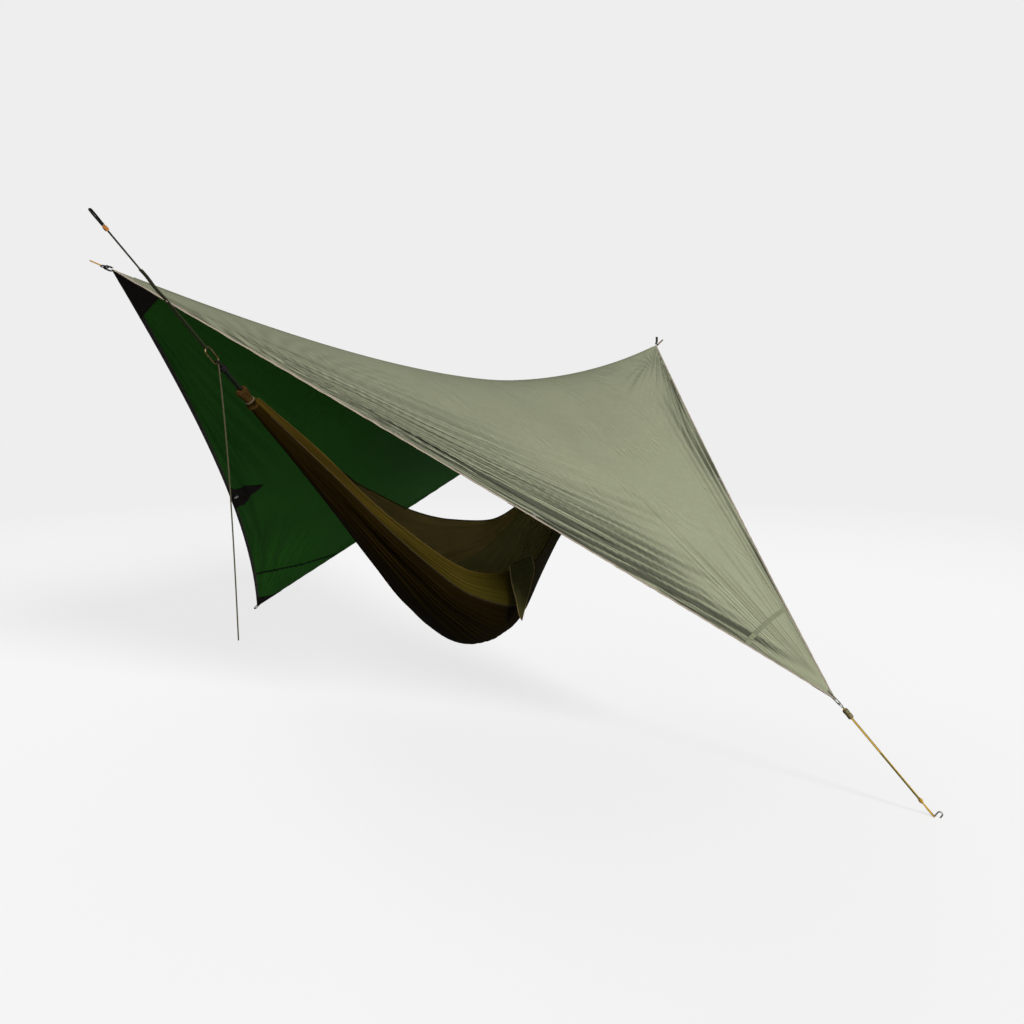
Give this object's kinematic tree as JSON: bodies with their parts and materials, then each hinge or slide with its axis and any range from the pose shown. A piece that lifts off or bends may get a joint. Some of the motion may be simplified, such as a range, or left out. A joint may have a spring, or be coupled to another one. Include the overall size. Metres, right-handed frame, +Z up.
{
  "type": "tarp shelter",
  "caption": "Diamond-pitched tarp with reinforced corners and eyelets, ridge ties, a tensioned guy line and peg, over a gathered-end hammock hung from tree straps.",
  "frame": {"origin": "end of the left ridge tie cord, where it reaches the tree", "axes": "+X along the ridge from the left corner to the right corner, +Y to the back low corner, +Z up"},
  "size_m": [4.5121, 3.4792, 2.1757],
  "materials": {
    "tarp_cloth": "coated ripstop, pale grey-green outside, dark green inside",
    "seam_tape": "taped flat seam",
    "hem_tape": "woven tan binding",
    "reinforcement": "black woven patch",
    "eyelet_metal": "bare",
    "corner_webbing": "black webbing",
    "tie_hook": "moulded",
    "tie_cord_yellow": "braided",
    "tie_cord_tan": "braided",
    "ring_steel": "satin",
    "guy_cord_gold": "braided",
    "guy_cord_olive": "braided",
    "tensioner_plastic": "moulded",
    "hammock_body": "woven nylon",
    "hammock_band": "woven nylon",
    "whipping_cord": "thin twine",
    "hammock_rope": "braided",
    "carabiner_alloy": "anodised",
    "suspension_cord": "braided",
    "adjuster_cord": "knotted cord",
    "tree_strap": "woven webbing",
    "suspension_webbing": "tubular webbing",
    "tail_cord": "thin two-tone cord",
    "pouch_cloth": "woven nylon"
  },
  "bodies": {
    "root": {"canopy_front_panel": "tarp_cloth", "canopy_front_corner": "tarp_cloth", "canopy_back_panel": "tarp_cloth", "canopy_back_corner": "tarp_cloth", "ridge_seam_tape": "seam_tape", "hem_front_left": "hem_tape", "side_patch_front_left": "reinforcement", "eyelet_front_left": "eyelet_metal", "hem_front_right": "hem_tape", "side_patch_front_right": "reinforcement", "eyelet_front_right": "eyelet_metal", "hem_back_left": "hem_tape", "side_patch_back_left": "reinforcement", "eyelet_back_left": "eyelet_metal", "hem_back_right": "hem_tape", "side_patch_back_right": "reinforcement", "eyelet_back_right": "eyelet_metal", "patch_left": "reinforcement", "corner_loop_left": "corner_webbing", "patch_right": "reinforcement", "corner_loop_right": "corner_webbing", "patch_front": "reinforcement", "corner_loop_front": "corner_webbing", "patch_back": "reinforcement", "corner_loop_back": "corner_webbing", "left_tie_hook": "tie_hook", "left_tie_cord": "tie_cord_yellow", "right_tie_cord": "tie_cord_tan", "front_ring": "ring_steel", "guy_line_a": "guy_cord_gold", "guy_line_b": "guy_cord_olive", "guy_knot": "guy_cord_gold", "peg_loop": "guy_cord_gold"},
    "hammock": {"hammock_near_panel": "hammock_band", "hammock_centre_panel": "hammock_body", "hammock_far_panel": "hammock_band", "left_gather": "hammock_body", "left_whipping": "whipping_cord", "left_hammock_rope": "hammock_rope", "left_gate_pin": "carabiner_alloy", "left_suspension_loop": "suspension_cord", "left_adjuster": "adjuster_cord", "left_tree_strap": "tree_strap", "right_gather": "hammock_body", "right_whipping": "whipping_cord", "right_hammock_rope": "hammock_rope", "right_gate_pin": "carabiner_alloy", "right_suspension_loop": "suspension_cord", "right_adjuster": "adjuster_cord", "right_tree_strap": "tree_strap", "left_webbing_sleeve": "suspension_webbing", "left_suspension_cord": "suspension_cord", "hanging_tail_cord": "tail_cord", "left_carabiner": "carabiner_alloy", "right_carabiner": "carabiner_alloy"},
    "left_gate": {"left_carabiner_gate": "carabiner_alloy"},
    "right_gate": {"right_carabiner_gate": "carabiner_alloy"},
    "pouch": {"stuff_pouch": "pouch_cloth"},
    "tensioner": {"line_tensioner": "tensioner_plastic"},
    "peg": {"ground_peg": "ring_steel"}
  },
  "joints": [
    {"name": "hammock_swing", "type": "hinge", "parent": "root", "child": "hammock", "pos_m": [-0.10995, -0.15, 0.09659], "axis": [0.9973, 0.0575, -0.0464], "range_deg": [-14, 14]},
    {"name": "left_gate_open", "type": "hinge", "parent": "hammock", "child": "left_gate", "pos_m": [0.26637, -0.12831, -0.21143], "axis": [-0.0575, 0.9983, 0], "range_deg": [0, 24], "stiffness_Nm_per_rad": 0.02, "springref_deg": -8.59},
    {"name": "right_gate_open", "type": "hinge", "parent": "hammock", "child": "right_gate", "pos_m": [3.53791, 0.06025, -0.44707], "axis": [0.0575, -0.9983, 0], "range_deg": [0, 24], "stiffness_Nm_per_rad": 0.02, "springref_deg": -8.59},
    {"name": "pouch_flap", "type": "hinge", "parent": "hammock", "child": "pouch", "pos_m": [1.64455, -0.3515, -0.99841], "axis": [-0.9983, -0.0575, 0], "range_deg": [0, 35]},
    {"name": "tensioner_slide", "type": "slide", "parent": "root", "child": "tensioner", "axis": [0, -0.683, -0.7304], "range_m": [0, 0.36]},
    {"name": "peg_pull", "type": "slide", "parent": "root", "child": "peg", "axis": [0, -0.5, 0.866], "range_m": [0, 0.16]}
  ]
}
